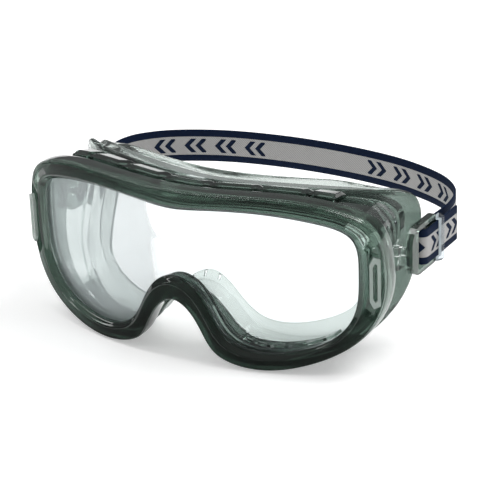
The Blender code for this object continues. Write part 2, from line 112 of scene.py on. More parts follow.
# headband
STRAP_WIDTH, STRAP_THICK = 15.0, 1.0
STRAP_RISE, RISE_Y = 1.8, (66.0, 96.0)
CLIP_X, BAR_Y, BAR_RADIUS = 83.5, 54.0, 1.5
INNER_X = CLIP_X - BAR_RADIUS - LENS_GAP - STRAP_THICK / 2
OUTER_X = CLIP_X + BAR_RADIUS + LENS_GAP + STRAP_THICK / 2
LOOP = [(INNER_X, 60.0), (INNER_X, 66.0), (81.9, 73.0), (82.6, 80.5), (81.6, 88.5),
        (77.5, 97.0), (69.0, 105.5), (56.0, 112.5), (40.0, 117.8), (20.0, 121.0), (0.0, 122.0)]
TAIL = [(OUTER_X + 0.6, 80.0), (OUTER_X + 0.3, 75.0), (OUTER_X, 70.0), (OUTER_X, 62.0)]

PAINTED_TOP_LIGHT_FROM, PAINTED_TOP_LIGHT_TO = 0.030, 0.062   # heights between which the frame's tint is painted lighter, as painted top light where the light from above falls, metres

# weave and print of the headband
TWILL_PITCH = 0.65
BORDER_SHARE = 0.21             # of the width, navy along each edge
MARK_PITCH = 14.0
MARK_HEIGHT = 0.22              # half of a mark's height, as a share of the width
GROUP_MIDDLE, GROUP_REPEAT = 54.0, 96.0   # groups of four marks, out from the band's middle

# camera, in metres round the middle of the goggles
EYE = Vector((0.4213, -0.7118, 0.3729))
AIM = Vector((0.0089, -0.0225, 0.0386))
ROLL = math.radians(-2.2)
FOCAL_LENGTH = 158.5

scene = bpy.context.scene


# ---- outlines and surfaces, as in the part --------------------------------------
def place(p):
    return Vector((p[0] * MM, (p[1] - FORE_AFT) * MM, (p[2] + LIFT) * MM))


def spline_point(half, u):
    ring = list(half) + [(-x, z) for x, z in reversed(half[1:-1])]
    n = len(ring)
    t = (u % 1.0) * n
    i, f = int(t), t % 1.0
    weights = ((1 - f) ** 3 / 6, (3 * f ** 3 - 6 * f ** 2 + 4) / 6,
               (-3 * f ** 3 + 3 * f ** 2 + 3 * f + 1) / 6, f ** 3 / 6)
    return tuple(sum(w * ring[(i - 1 + k) % n][c] for k, w in enumerate(weights)) for c in (0, 1))


def mix(a, b, s):
    return tuple(p + (q - p) * s for p, q in zip(a, b))


def smooth(t):
    t = min(1.0, max(0.0, t))
    return t * t * (3.0 - 2.0 * t)


def bend(x, radius):
    return radius - math.sqrt(radius * radius - x * x)


def front_point(u, s, back):
    x, z = mix(spline_point(OPENING, u), spline_point(FRAME_EDGE, u), s)
    return x, bend(x, LENS_RADIUS) + back, z


def rear_point(u, s, back):
    x, z = mix(spline_point(BORDER_EDGE, u), spline_point(FACE_HOLE, u), s)
    lean = -FACE_LEAN * smooth((LEAN_Z[0] - z) / (LEAN_Z[0] - LEAN_Z[1]))
    return x, bend(x, FACE_RADIUS) + FACE_DEPTH + lean + back, z


def wall_point(u, v, depth=0.0):
    a = front_point(u, 0.74, WALL_FRONT)
    b = rear_point(u, WALL_OUT, -2.0)
    p = mix(a, b, v)
    if depth:
        e = 0.004
        along = Vector(mix(a, b, v + 0.05)) - Vector(p)
        normal = (Vector(wall_point(u + e, v)) - Vector(wall_point(u - e, v))).cross(along).normalized()
        if normal.dot(Vector((p[0], 0, p[2] - 6))) < 0:
            normal = -normal
        p = tuple(Vector(p) + normal * depth)
    return p


def solve(function, target, low, high):
    """Where a function that only rises or only falls reaches the target."""
    rising = function(high) > function(low)
    for _ in range(40):
        mid = (low + high) / 2
        if (function(mid) < target) == rising:
            low = mid
        else:
            high = mid
    return (low + high) / 2


def span(a, b, n):
    return [a + (b - a) * i / (n - 1) for i in range(n)]


# ---- mesh helpers ------------------------------------------------------------------
def finish_mesh(name, verts, faces, mat, node, smooth_angle=40.0):
    """Mesh that rides on its CAD node's body and stands for that node."""
    mesh = bpy.data.meshes.new(name)
    mesh.from_pydata([place(p) for p in verts], [], faces)
    bm = bmesh.new()
    bm.from_mesh(mesh)
    bmesh.ops.recalc_face_normals(bm, faces=bm.faces)
    bm.to_mesh(mesh)
    bm.free()
    mesh.shade_smooth()
    mesh.set_sharp_from_angle(angle=math.radians(smooth_angle))
    mesh.materials.append(mat)
    obj = bpy.data.objects.new(name, mesh)
    scene.collection.objects.link(obj)
    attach(obj, body_of_node(node))
    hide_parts(node)
    return obj


def body_of_node(node):
    for body, nodes in frame["record"]["behaviour"]["bodies"].items():
        if node in nodes:
            return body
    return None


def rounded(points, radii, steps=4):
    """Closed 3-D polygon with each corner turned into a short curve."""
    out = []
    n = len(points)
    for i, r in enumerate(radii):
        cur = Vector(points[i])
        if not r:
            out.append(tuple(cur))
            continue
        before, after = Vector(points[i - 1]) - cur, Vector(points[(i + 1) % n]) - cur
        a = cur + before * min(r / before.length, 0.48)
        b = cur + after * min(r / after.length, 0.48)
        for k in range(steps):
            t = k / (steps - 1)
            out.append(tuple(a * (1 - t) ** 2 + cur * 2 * t * (1 - t) + b * t * t))
    return out


def ring(name, section, us, mat, node, open_cells=(), bands=None, paint=None):
    """Closed ring swept along u.  open_cells(u) tells where it is cut right
    through between its two bands, each a (first, last) run of section points.
    paint = (more materials, which(u, a)) picks another material for some faces."""
    rows = [section(u) for u in us]
    count, k = len(us), len(rows[0])
    verts = [p for row in rows for p in row]

    def is_open(i):
        ahead = us[(i + 1) % count] + (1.0 if i % count == count - 1 else 0.0)
        mid = (us[i % count] + ahead) / 2 % 1.0
        return any(u0 < mid < u1 for u0, u1 in open_cells)

    if bands:
        (o0, o1), (n0, n1) = bands
        width = o1 - o0
    faces, tags = [], []
    for i in range(count):
        j = (i + 1) % count
        hole = bool(open_cells) and is_open(i)
        for a in range(k):
            b = (a + 1) % k
            if not (hole and (o0 <= a < o1 or n0 <= a < n1)):
                faces.append((i * k + a, i * k + b, j * k + b, j * k + a))
                tags.append(paint[1](us[i], a) if paint else 0)
        if hole:
            for p, q in ((o0, n1), (o1, n0)):
                faces.append((i * k + p, j * k + p, j * k + q, i * k + q))
            for edge, neighbour in ((i, i - 1), (j, i + 1)):
                if not is_open(neighbour % count):
                    for m in range(width):
                        faces.append((edge * k + o0 + m, edge * k + o0 + m + 1,
                                      edge * k + n1 - m - 1, edge * k + n1 - m))
    obj = finish_mesh(name, verts, faces, mat, node)
    if paint:
        for more in paint[0]:
            obj.data.materials.append(more)
        tags += [0] * (len(faces) - len(tags))
        for poly, tag in zip(obj.data.polygons, tags):
            poly.material_index = tag
    return obj


def with_stops(count, stops, refine=()):
    """Even parameters, finer inside the refine spans, with exact stops."""
    us = [i / count for i in range(count)]
    for u0, u1, extra in refine:
        us += span(u0, u1, extra)
    stops = sorted(s % 1.0 for s in stops)
    us = [u % 1.0 for u in us]
    us = [u for u in us if all(abs(u - s) > 0.0009 for s in stops)] + stops
    us.sort()
    kept = []
    for u in us:
        if not kept or u - kept[-1] > 0.0004 or u in stops:
            kept.append(u)
    return kept


# ---- materials ---------------------------------------------------------------------
def new_material(name):
    mat = bpy.data.materials.new(name)
    mat.use_nodes = True
    nodes = mat.node_tree.nodes
    return mat, nodes, mat.node_tree.links, nodes["Principled BSDF"]


def math_node(nodes, links, operation, *values):
    node = nodes.new("ShaderNodeMath")
    node.operation = operation
    for k, value in enumerate(values):
        if isinstance(value, (int, float)):
            node.inputs[k].default_value = value
        else:
            links.new(value, node.inputs[k])
    return node.outputs[0]


def noise(nodes, links, scale, detail=3.0, stretch=(1.0, 1.0, 1.0)):
    """Noise in object space; scale is in cells per metre."""
    where = nodes.new("ShaderNodeTexCoord")
    mapping = nodes.new("ShaderNodeMapping")
    mapping.inputs["Scale"].default_value = stretch
    links.new(where.outputs["Object"], mapping.inputs["Vector"])
    tex = nodes.new("ShaderNodeTexNoise")
    tex.inputs["Scale"].default_value = scale
    tex.inputs["Detail"].default_value = detail
    links.new(mapping.outputs["Vector"], tex.inputs["Vector"])
    return tex.outputs["Fac"]


def spread(nodes, links, value, low, high):
    node = nodes.new("ShaderNodeMapRange")
    node.inputs["From Min"].default_value = 0.3
    node.inputs["From Max"].default_value = 0.7
    node.inputs["To Min"].default_value = low
    node.inputs["To Max"].default_value = high
    links.new(value, node.inputs["Value"])
    return node.outputs["Result"]


def bump(nodes, links, bsdf, height, strength, distance):
    node = nodes.new("ShaderNodeBump")
    node.inputs["Strength"].default_value = strength
    node.inputs["Distance"].default_value = distance
    links.new(height, node.inputs["Height"])
    links.new(node.outputs["Normal"], bsdf.inputs["Normal"])


def smoke(name, face, edge, rough, clear, ripple=0.03, ior=1.45, gloss=0.35, polish=0.0,
          painted_top_light=None):
    """See-through moulded plastic.  Its tint goes from face, looked at squarely,
    to edge, looked at along the wall, as a thin coloured wall does.  Given a top tint,
    the face tint changes to it towards the top of the goggles: painted top light, lighter where the light
    from above falls."""
    mat, nodes, links, bsdf = new_material(name)
    weight = nodes.new("ShaderNodeLayerWeight")
    weight.inputs["Blend"].default_value = 0.35
    tint = nodes.new("ShaderNodeMix")
    tint.data_type = "RGBA"
    tint.inputs["A"].default_value = (*face, 1.0)
    tint.inputs["B"].default_value = (*edge, 1.0)
    links.new(weight.outputs["Facing"], tint.inputs["Factor"])
    if painted_top_light:
        where = nodes.new("ShaderNodeTexCoord")
        split = nodes.new("ShaderNodeSeparateXYZ")
        links.new(where.outputs["Object"], split.inputs[0])
        height = nodes.new("ShaderNodeMapRange")
        height.inputs["From Min"].default_value = PAINTED_TOP_LIGHT_FROM
        height.inputs["From Max"].default_value = PAINTED_TOP_LIGHT_TO
        links.new(split.outputs["Z"], height.inputs["Value"])
        both = nodes.new("ShaderNodeMix")
        both.data_type = "RGBA"
        both.inputs["A"].default_value = (*face, 1.0)
        both.inputs["B"].default_value = (*painted_top_light, 1.0)
        links.new(height.outputs["Result"], both.inputs["Factor"])
        links.new(both.outputs["Result"], tint.inputs["A"])
    links.new(tint.outputs["Result"], bsdf.inputs["Base Color"])
    bsdf.inputs["Transmission Weight"].default_value = clear
    bsdf.inputs["IOR"].default_value = ior
    bsdf.inputs["Specular IOR Level"].default_value = gloss
    bsdf.inputs["Coat Weight"].default_value = polish
    bsdf.inputs["Coat IOR"].default_value = 1.7
    bsdf.inputs["Coat Roughness"].default_value = 0.02
    wear = noise(nodes, links, 90.0, 4.0)
    links.new(spread(nodes, links, wear, rough * 0.6, rough * 1.6), bsdf.inputs["Roughness"])
    bump(nodes, links, bsdf, noise(nodes, links, 260.0, 2.0), ripple, 0.0004)
    return mat


def clear_pane(name, tint, sheen):
    """Thin clear sheet: sees straight through, with a little gloss on top."""
    mat, nodes, links, bsdf = new_material(name)
    out = nodes["Material Output"]
    through = nodes.new("ShaderNodeBsdfTransparent")
    through.inputs["Color"].default_value = (*tint, 1.0)
    bsdf.inputs["Base Color"].default_value = (0.8, 0.84, 0.85, 1.0)
    wear = noise(nodes, links, 160.0, 5.0)
    links.new(spread(nodes, links, wear, 0.02, 0.07), bsdf.inputs["Roughness"])
    fresnel = nodes.new("ShaderNodeFresnel")
    fresnel.inputs["IOR"].default_value = 1.45
    amount = math_node(nodes, links, "MULTIPLY", fresnel.outputs[0], sheen)
    blend = nodes.new("ShaderNodeMixShader")
    links.new(amount, blend.inputs[0])
    links.new(through.outputs[0], blend.inputs[1])
    links.new(bsdf.outputs[0], blend.inputs[2])
    links.new(blend.outputs[0], out.inputs["Surface"])
    return mat


def steel():
    mat, nodes, links, bsdf = new_material("bar_steel")
    bsdf.inputs["Base Color"].default_value = (0.42, 0.42, 0.40, 1.0)
    bsdf.inputs["Metallic"].default_value = 1.0
    wear = noise(nodes, links, 400.0, 4.0, (1.0, 1.0, 0.1))
    links.new(spread(nodes, links, wear, 0.22, 0.42), bsdf.inputs["Roughness"])
    return mat


def webbing():
    """Twill in two colours with navy edges and woven navy marks.

    The uv of the band is in millimetres: along it, and across from its middle.
    """
    mat, nodes, links, bsdf = new_material("webbing")
    uv = nodes.new("ShaderNodeUVMap")
    uv.uv_map = "band"
    split = nodes.new("ShaderNodeSeparateXYZ")
    links.new(uv.outputs["UV"], split.inputs[0])
    along, across = split.outputs["X"], split.outputs["Y"]

    def m(operation, *values):
        return math_node(nodes, links, operation, *values)

    # diagonal ribs of the twill, and its finer threads
    diagonal = m("ADD", m("MULTIPLY", along, 0.8), m("MULTIPLY", across, 0.6))
    rib = m("SINE", m("MULTIPLY", diagonal, 2 * math.pi / TWILL_PITCH))
    thread = m("SINE", m("MULTIPLY", along, 2 * math.pi / (TWILL_PITCH * 0.6)))
    height = m("ADD", m("MULTIPLY", rib, 0.7), m("MULTIPLY", thread, 0.3))

    half = STRAP_WIDTH / 2
    edge = m("GREATER_THAN", m("ABSOLUTE", across), half * (1 - 2 * BORDER_SHARE))
    # marks: pairs of chevrons in groups, with plain band between the groups
    distance = m("ABSOLUTE", along)
    cell = m("FRACT", m("DIVIDE", m("SUBTRACT", distance, GROUP_MIDDLE - 10 * MARK_PITCH), MARK_PITCH))
    upright = m("DIVIDE", m("ABSOLUTE", across), STRAP_WIDTH * MARK_HEIGHT)
    swept = m("ADD", cell, m("MULTIPLY", upright, 0.22))
    stroke = m("LESS_THAN", m("ABSOLUTE", m("SUBTRACT", m("PINGPONG", m("SUBTRACT", swept, 0.08), 0.36),
                                            0.18)), 0.09)
    tall = m("LESS_THAN", upright, 1.0)
    inside = m("MULTIPLY", m("GREATER_THAN", swept, 0.14), m("LESS_THAN", swept, 0.74))
    repeat = m("MODULO", distance, GROUP_REPEAT)
    grouped = m("LESS_THAN", m("ABSOLUTE", m("SUBTRACT", repeat, GROUP_MIDDLE)), 2 * MARK_PITCH)
    mark = m("MULTIPLY", m("MULTIPLY", m("MULTIPLY", stroke, tall), inside), grouped)
    navy = m("MAXIMUM", edge, mark)

    light = nodes.new("ShaderNodeMix")
    light.data_type = "RGBA"
    light.inputs["A"].default_value = (0.29, 0.285, 0.28, 1.0)
    light.inputs["B"].default_value = (0.58, 0.573, 0.566, 1.0)
    links.new(spread(nodes, links, m("ADD", m("MULTIPLY", rib, 0.2), 0.5), 0.0, 1.0),
              light.inputs["Factor"])
    dark = nodes.new("ShaderNodeMix")
    dark.data_type = "RGBA"
    dark.inputs["A"].default_value = (0.0015, 0.006, 0.020, 1.0)
    dark.inputs["B"].default_value = (0.004, 0.014, 0.045, 1.0)
    links.new(noise(nodes, links, 900.0, 2.0), dark.inputs["Factor"])
    both = nodes.new("ShaderNodeMix")
    both.data_type = "RGBA"
    links.new(navy, both.inputs["Factor"])
    links.new(light.outputs["Result"], both.inputs["A"])
    links.new(dark.outputs["Result"], both.inputs["B"])
    links.new(both.outputs["Result"], bsdf.inputs["Base Color"])
    bsdf.inputs["Roughness"].default_value = 0.75
    bsdf.inputs["Specular IOR Level"].default_value = 0.12
    bump(nodes, links, bsdf, height, 0.5, 0.00012)
    return mat


# the last tint given to each of the three frame materials is painted top light: the frame is painted
# lighter towards the top, where the light from above falls
SMOKE_FRAME = smoke("smoke_frame", (0.014, 0.029, 0.020), (0.004, 0.010, 0.007), 0.015, 0.95, 0.0, ior=1.2,
                    gloss=0.2, painted_top_light=(0.060, 0.096, 0.076))
# rolled outer edge tinted lighter than the frame: painted sheen standing for the highlights along the brow
FRAME_ROLL_PAINTED_SHEEN = smoke("smoke_frame_roll_painted_sheen", (0.075, 0.118, 0.094), (0.012, 0.024, 0.017), 0.015, 0.95, 0.0,
                   ior=1.25, gloss=0.25, polish=0.5, painted_top_light=(0.12, 0.18, 0.145))
FRAME_BEVEL = smoke("smoke_frame_bevel", (0.026, 0.048, 0.035), (0.004, 0.010, 0.007), 0.015, 0.90, 0.0,
                    ior=1.2, gloss=0.25, polish=0.4, painted_top_light=(0.030, 0.055, 0.042))
FRAME_WINDOW = smoke("smoke_frame_window", (0.60, 0.70, 0.65), (0.25, 0.32, 0.28), 0.03, 0.95, 0.0)
# latch pocket tinted darker than the frame: painted shade in the recess
FRAME_POCKET_PAINTED_SHADE = smoke("smoke_frame_pocket_painted_shade", (0.018, 0.034, 0.025), (0.006, 0.012, 0.009), 0.03, 0.85, 0.0,
                     gloss=0.2)
# latch bracket tinted far lighter than the frame plastic it is made of: painted highlight
LATCH_PAINTED_HIGHLIGHT = smoke("smoke_latch_painted_highlight", (0.60, 0.69, 0.64), (0.10, 0.14, 0.12), 0.06, 0.50, 0.01)
SMOKE_DARK = smoke("smoke_dark", (0.10, 0.155, 0.128), (0.012, 0.022, 0.016), 0.03, 0.92, 0.02)
SMOKE_CLIP = smoke("smoke_clip", (0.22, 0.30, 0.255), (0.03, 0.05, 0.04), 0.03, 0.90, 0.01)
SMOKE_SOFT = smoke("smoke_soft", (0.87, 0.92, 0.895), (0.74, 0.80, 0.77), 0.04, 0.95, ior=1.25)
SMOKE_BORDER = smoke("smoke_border", (0.035, 0.056, 0.045), (0.008, 0.016, 0.012), 0.03, 0.93, ior=1.35)
SMOKE_DEEP = smoke("smoke_deep", (0.40, 0.47, 0.435), (0.10, 0.14, 0.12), 0.03, 0.95, ior=1.3)
SEAL_SOFT = smoke("seal_soft", (0.80, 0.85, 0.825), (0.26, 0.32, 0.29), 0.04, 0.95, ior=1.3)
CLEAR_LENS = clear_pane("clear_lens", (0.955, 0.972, 0.975), 0.55)
CLEAR_PLASTIC = clear_pane("clear_plastic", (0.82, 0.85, 0.87), 0.9)
STEEL = steel()
WEBBING = webbing()


# ---- lens ----------------------------------------------------------------------------
def lens():
    """Curved sheet, its edge 3 mm under the frame."""
    around, centre = 180, (0.0, 10.0)
    steps = (1.0, 0.85, 0.7, 0.55, 0.4, 0.25, 0.1)
    verts, faces = [], []
    for back in (LENS_GAP, LENS_GAP + LENS_THICK):
        for s in steps:
            for i in range(around):
                x, _, z = front_point(i / around, 0.3, 0)
                x, z = mix(centre, (x, z), s)
                verts.append((x, bend(x, LENS_RADIUS) + back, z))
        verts.append((centre[0], back, centre[1]))
    layer = len(steps) * around + 1
    for base in (0, layer):
        for r in range(len(steps) - 1):
            for i in range(around):
                a, j = base + r * around, (i + 1) % around
                faces.append((a + i, a + j, a + around + j, a + around + i))
        last = base + (len(steps) - 1) * around
        faces += [(last + i, last + (i + 1) % around, base + layer - 1) for i in range(around)]
    faces += [(i, (i + 1) % around, layer + (i + 1) % around, layer + i) for i in range(around)]
    finish_mesh("lens_fine", verts, faces, CLEAR_LENS, "lens")


# ---- front frame ----------------------------------------------------------------------
def recess(u, s):
    """How deep the frame's face is sunk here, for the latch pocket and the window."""
    x, _, z = front_point(u, s, 0)
    if abs(x) < 55:
        return 0.0
    deep = 0.0
    for (s0, s1), top, bottom, depth, slope in (
            (POCKET_S, POCKET_TOP, POCKET_BOTTOM, POCKET_DEPTH, POCKET_SLOPE),
            (WINDOW_S, WINDOW_TOP, WINDOW_BOTTOM, WINDOW_DEPTH, 0.0)):
        t = min(1.0, max(0.0, (s - s0) / (s1 - s0)))
        inside = min(mix(top[:1], top[1:], t)[0] - z, z - mix(bottom[:1], bottom[1:], t)[0])
        if s0 <= s <= s1:
            deep = max(deep, depth * (1.0 + slope * t) * smooth(inside / SINK_BLEND + 0.5))
    return deep


# across the frame: the stops of its face, then (share, back, corner radius) of
# two fine grooves, the rolled outer edge and the skirt
FACE_S = (0.30, 0.335, 0.355, 0.365, 0.44, 0.52, 0.60, 0.68, 0.715, 0.725, 0.80, 0.855, 0.875)
FACE_FRONT, FACE_SLOPE = -3.95, 0.5
OUTER_PROFILE = ((0.895, -3.55, 0.2), (0.905, -2.9, 0.1), (0.925, -2.85, 0.1), (0.935, -3.25, 0.2),
                 (0.950, -3.0, 0.2), (0.957, -2.4, 0.1), (0.972, -2.3, 0.1), (0.985, -2.3, 0.3),
                 (1.005, -0.8, 0.8), (1.01, 1.8, 0.8), (0.985, 4.2, 0.5), (0.95, SKIRT_BACK, 0.4),
                 (0.86, SKIRT_BACK, 0.3), (0.84, 0.4, 0.3), (0.5, 0.1, 0.0))
CORNER_STEPS = 4                    # section points of one rounded corner
BEVEL_END = 5 * CORNER_STEPS
ROLL_START = BEVEL_END + len(FACE_S) + 2 * CORNER_STEPS
SKIRT_START = ROLL_START + 7 * CORNER_STEPS


def frame_section(u):
    """Inner bevel, face, two fine grooves, rolled outer edge, skirt."""
    points = [front_point(u, 0.0, 0.1), front_point(u, 0.0, -1.7), front_point(u, 0.05, -2.3),
              front_point(u, 0.16, -3.1), front_point(u, 0.22, -3.75)]
    radii = [0.3, 0.5, 0.5, 0.6, 0.6]
    for s in FACE_S:
        back = FACE_FRONT + FACE_SLOPE * max(0.0, s - 0.5)
        points.append(front_point(u, s, back + recess(u, s)))
        radii.append(0.0)
    for s, back, r in OUTER_PROFILE:
        points.append(front_point(u, s, back))
        radii.append(r)
    return rounded(points, radii)


def front_frame():
    """Frame with its own tints on the bevel and windows, a lighter rolled edge that is painted sheen for
    its highlights, and a darker latch pocket that is painted shade.
    """
    us = with_stops(288, (), ((0.13, 0.30, 140), (0.70, 0.87, 140)))
    more = (FRAME_BEVEL, FRAME_ROLL_PAINTED_SHEEN, FRAME_POCKET_PAINTED_SHADE, FRAME_WINDOW)

    def which(u, a):
        """Place of a face's material: 0 for the frame's own, then those in more."""
        if a < BEVEL_END:
            return 1
        if a >= SKIRT_START:
            x, _, z = front_point(u, 1.0, 0.0)
            if abs(x) > SKIRT_CLEAR_X and SKIRT_CLEAR_Z[0] < z < SKIRT_CLEAR_Z[1]:
                return 4
        # the rolled edge takes the lighter tint painted for its highlights
        if a >= ROLL_START:
            return 2
        s = FACE_S[min(a - BEVEL_END, len(FACE_S) - 1)] + 0.01
        deep = recess(u, s)
        # the sunk latch pocket takes the darker tint, painted shade
        if deep > 0.9 * POCKET_DEPTH:
            return 3
        return 4 if abs(deep - WINDOW_DEPTH) < 0.1 * WINDOW_DEPTH else 0

    ring("front_frame_fine", frame_section, us, SMOKE_FRAME, "front_frame", paint=(more, which))


# ---- soft body ------------------------------------------------------------------------
def body_section(u):
    inner_front = front_point(u, 0.54, WALL_FRONT + 1.6)
    inner_rear = rear_point(u, WALL_IN, -1.5)
    v0, v1 = VENT_BAND
    points = [front_point(u, 0.12, BODY_FRONT), front_point(u, 0.74, BODY_FRONT), wall_point(u, 0.0)]
    radii = [0.3, 0.8, 0.6]
    for v in (v0, (v0 + v1) / 2, v1):
        points.append(wall_point(u, v))
        radii.append(0.0)
    points += [wall_point(u, 0.90), wall_point(u, 0.97), rear_point(u, 0.10, -2.4),
               rear_point(u, 0.0, -1.8), rear_point(u, 0.0, 0.6), rear_point(u, 0.08, 1.3),
               rear_point(u, WALL_IN, 1.2), inner_rear]
    radii += [1.5, 1.0, 0.6, 0.9, 0.9, 0.5, 0.4, 0.8]
    for v in (v1, (v0 + v1) / 2, v0):
        points.append(mix(inner_front, inner_rear, v))
        radii.append(0.0)
    points += [inner_front, front_point(u, 0.50, BODY_FRONT + 2.0), front_point(u, 0.12, BODY_FRONT + 2.0)]
    radii += [0.8, 0.5, 0.3]
    return rounded(points, radii)


BORDER_FACES = (19, 43)       # section faces that make up the thick border
CLEAR_SIDE = 60.0             # beyond this x the wall is thin and light
CLEAR_Z = (-24.0, 26.0)       # between these heights


def cover_edges():
    return [-x for x in reversed(COVER_X)] + COVER_X


def top_u(x):
    return solve(lambda u: wall_point(u, 0.5)[0], x, -0.16, 0.16)


def cheek_u(x):
    low, high = (0.27, 0.42) if x > 0 else (0.58, 0.73)
    return solve(lambda u: wall_point(u, 0.5)[0], x, low, high)


def face_body():
    """Body with the vents under its covers and five slots in each cheek."""
    cells = []
    edges = cover_edges()
    for x0, x1 in zip(edges, edges[1:]):
        cells.append((top_u(x0 + 2.5), top_u(x1 - 2.5)))
    for side in (-1, 1):
        for k in range(5):
            x = side * (CHEEK_SLOT_X + CHEEK_SLOT_STEP * k)
            half = CHEEK_SLOT_WIDTH / 2
            cells.append(tuple(sorted((cheek_u(x - half), cheek_u(x + half)))))
    us = with_stops(216, [u for cell in cells for u in cell])
    split = [(a, b) for a, b in cells if a >= 0]
    for a, b in cells:
        if a < 0:
            split.append((a % 1.0, 1.0 if b > 0 else b % 1.0))
            split.append((0.0, max(0.0, b)))
    first = 3 * CORNER_STEPS            # three rounded corners lie before the outer band
    last = first + 3 + 8 * CORNER_STEPS

    def which(u, a):
        x, _, z = wall_point(u, 0.5)
        if BORDER_FACES[0] <= a < BORDER_FACES[1]:
            return 1
        return 0 if abs(x) > CLEAR_SIDE and CLEAR_Z[0] < z < CLEAR_Z[1] else 2

    ring("face_body_fine", body_section, us, SMOKE_SOFT, "face_body", split,
         ((first, first + 2), (last, last + 2)), ((SMOKE_BORDER, SMOKE_DEEP), which))


# ---- face lip ---------------------------------------------------------------------------
def seal_section(u):
    x, z = spline_point(BORDER_EDGE, u)
    brow = smooth((z - 20.0) / 8.0) * (1.0 - smooth((abs(x) - 45.0) / 25.0))
    lip = 0.26 * (1.0 - brow)
    points = [rear_point(u, 0.18, 1.7), rear_point(u, 0.14, 7.6), rear_point(u, lip, 10.2),
              rear_point(u, lip, 11.1), rear_point(u, 0.5, 12.0), rear_point(u, 0.62, 12.2),
              rear_point(u, 0.80, 12.3), rear_point(u, 0.96, 12.4), rear_point(u, 0.96, 11.6),
              rear_point(u, 0.80, 11.2), rear_point(u, 0.62, 11.0), rear_point(u, 0.42, 10.4),
              rear_point(u, 0.38, 1.7)]
    return rounded(points, [0.4, 1.5, 0.5, 0.4, 0, 0, 0, 0.4, 0.4, 0, 0, 1.5, 0.4])


def face_seal():
    """Thin lip; three fine slits let it spread over the bridge of the nose."""
    cells = [(0.5 + at, 0.5 + at + NOSE_SLIT_WIDTH) for at in NOSE_SLITS]
    us = with_stops(216, [u for cell in cells for u in cell])
    outer, inner = (16, 19), (26, 29)
    ring("face_seal_fine", seal_section, us, SEAL_SOFT, "face_seal", cells, (outer, inner))


# ---- cheek baffles -----------------------------------------------------------------------
def cheek_baffle(side, tag):
    """Curved strip over the cheek vents, with a window over each slot."""
    nu, nv = 41, 9
    us, vs = span(cheek_u(side * BAFFLE_X[0]), cheek_u(side * BAFFLE_X[1]), nu), span(*BAFFLE_V, nv)
    verts = [wall_point(u, v, depth) for depth in BAFFLE_DEPTHS for u in us for v in vs]

    def at(layer, i, j):
        return layer * nu * nv + i * nv + j

    def solid(i, j):
        window = 2 <= j < 6 and 3 <= i < 37 and (i - 3) % 7 < 4
        return 0 <= i < nu - 1 and 0 <= j < nv - 1 and not window

    faces = []
    for i in range(nu - 1):
        for j in range(nv - 1):
            if not solid(i, j):
                continue
            corners = ((i, j), (i + 1, j), (i + 1, j + 1), (i, j + 1))
            beyond = ((i, j - 1), (i + 1, j), (i, j + 1), (i - 1, j))
            for layer in (0, 1):
                faces.append(tuple(at(layer, *corner) for corner in corners))
            for k in range(4):
                if not solid(*beyond[k]):
                    a, b = corners[k], corners[(k + 1) % 4]
                    faces.append((at(0, *a), at(0, *b), at(1, *b), at(1, *a)))
    finish_mesh("cheek_baffle_fine_" + tag, verts, faces, SMOKE_DEEP, "cheek_baffle_" + tag)


# ---- vent covers -------------------------------------------------------------------------
def vent_cover(name, u0, u1):
    """Box cover with soft edges and a raised roof."""
    nu, nv = 25, 17
    us, vs = span(u0, u1, nu), span(0.10, 0.82, nv)
    verts = []
    for layer in (0, 1):
        for i, u in enumerate(us):
            for j, v in enumerate(vs):
                edge = min(i, nu - 1 - i) / 3.0
                front, rear = j / 3.0, (nv - 1 - j) / 5.0
                if layer == 0:
                    depth = 0.4
                    if 2 < i < nu - 3 and 2 < j < nv - 4:
                        depth = 1.5
                else:
                    depth = 1.9 + 1.5 * smooth(min(edge, front, rear))
                verts.append(wall_point(u, v, depth))
    faces = []

    def at(layer, i, j):
        return layer * nu * nv + i * nv + j

    for i in range(nu - 1):
        for j in range(nv - 1):
            for layer in (0, 1):
                faces.append((at(layer, i, j), at(layer, i + 1, j),
                              at(layer, i + 1, j + 1), at(layer, i, j + 1)))
    for i in range(nu - 1):
        for j in (0, nv - 1):
            faces.append((at(0, i, j), at(0, i + 1, j), at(1, i + 1, j), at(1, i, j)))
    for j in range(nv - 1):
        for i in (0, nu - 1):
            faces.append((at(0, i, j), at(0, i, j + 1), at(1, i, j + 1), at(1, i, j)))
    finish_mesh(name + "_fine", verts, faces, SMOKE_DARK, name, 30.0)


def vent_covers():
    edges = cover_edges()
    for k in range(len(edges) - 1):
        vent_cover("vent_cover_%d" % (k + 1), top_u(edges[k] + COVER_SPLIT),
                   top_u(edges[k + 1] - COVER_SPLIT))


# ---- headband -----------------------------------------------------------------------------
def strap_height(y):
    return PIVOT_Z + STRAP_RISE * smooth((y - RISE_Y[0]) / (RISE_Y[1] - RISE_Y[0]))


def strap_line():
    """Plan of the band: tail, fold round a bar, loop, fold, tail."""
    half = list(TAIL) + [(OUTER_X, BAR_Y)]
    r = BAR_RADIUS + LENS_GAP + STRAP_THICK / 2
    for k in range(1, 16):
        t = math.pi * k / 16
        half.append((CLIP_X + r * math.cos(t), BAR_Y - r * math.sin(t)))
    half += [(INNER_X, BAR_Y)]
    for i in range(len(LOOP) - 1):
        p0, p1, p2 = LOOP[max(i - 1, 0)], LOOP[i], LOOP[i + 1]
        p3 = LOOP[i + 2] if i + 2 < len(LOOP) else (-LOOP[i][0], LOOP[i][1])
        for f in (0.0, 0.2, 0.4, 0.6, 0.8):
            half.append(tuple(0.5 * (2 * p1[c] + (p2[c] - p0[c]) * f
                                     + (2 * p0[c] - 5 * p1[c] + 4 * p2[c] - p3[c]) * f * f
                                     + (3 * p1[c] - p0[c] - 3 * p2[c] + p3[c]) * f ** 3)
                              for c in (0, 1)))
    return half + [LOOP[-1]] + [(-x, y) for x, y in reversed(half)]


